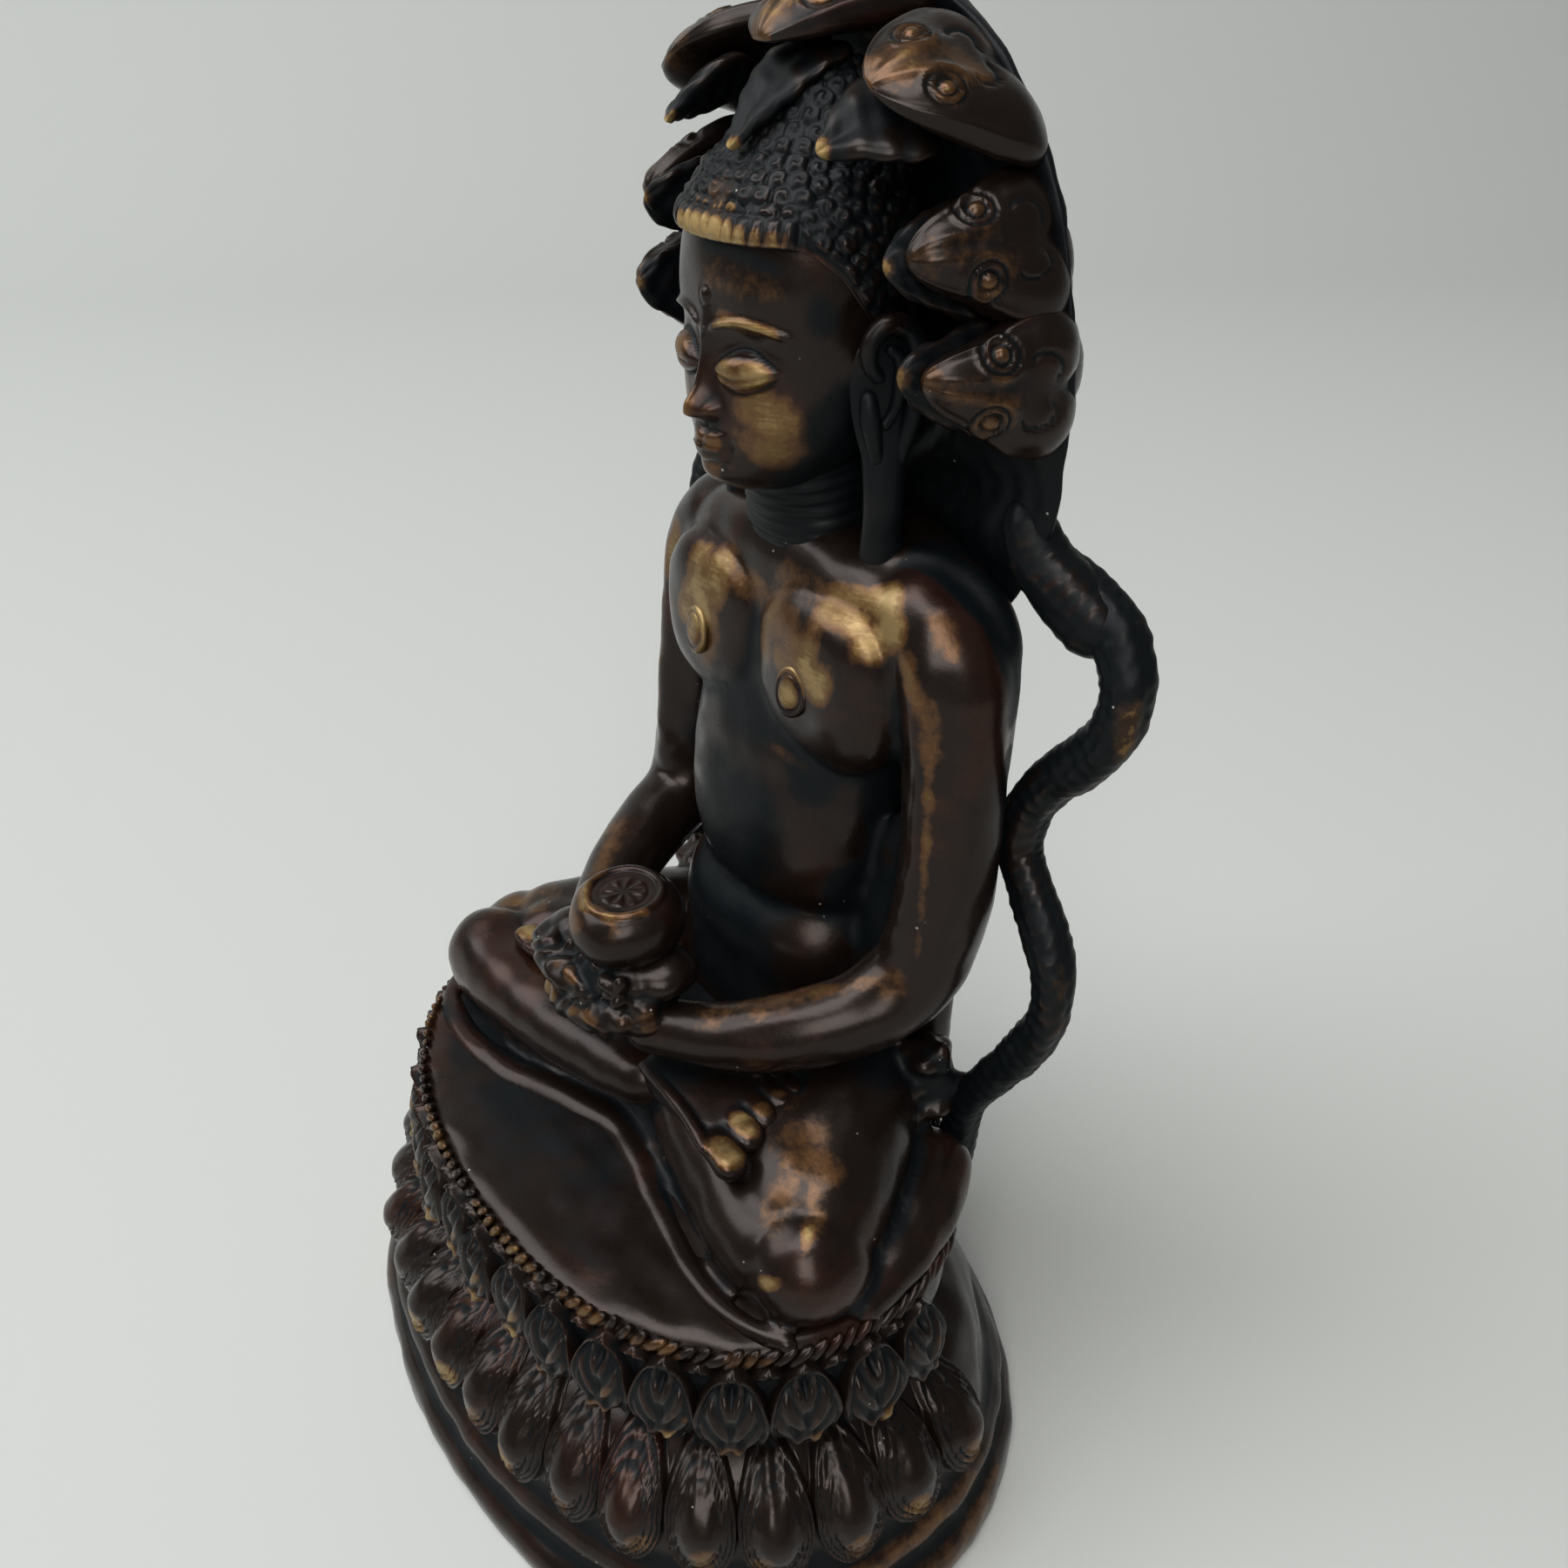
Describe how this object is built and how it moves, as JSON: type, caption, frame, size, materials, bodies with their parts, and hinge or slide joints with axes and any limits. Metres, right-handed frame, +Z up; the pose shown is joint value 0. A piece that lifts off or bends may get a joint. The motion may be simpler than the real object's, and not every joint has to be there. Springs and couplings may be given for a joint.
{
  "type": "meditating buddha statue",
  "caption": "Bronze figure seated in meditation on an oval lotus base, holding a covered bowl, under a hood of serpent heads whose tails hang down on both sides.",
  "frame": {"origin": "centre of the flat underside of the base", "axes": "+Z up along the figure, -Y the way the figure faces, +X its left side"},
  "size_m": [0.13, 0.0955, 0.2109],
  "materials": {
    "patinated_bronze": "dark brown patina, matt and nearly black in the hollows, rubbed to golden metal on the raised places"
  },
  "bodies": {
    "root": {"buddha_statue": "patinated_bronze"}
  },
  "joints": []
}
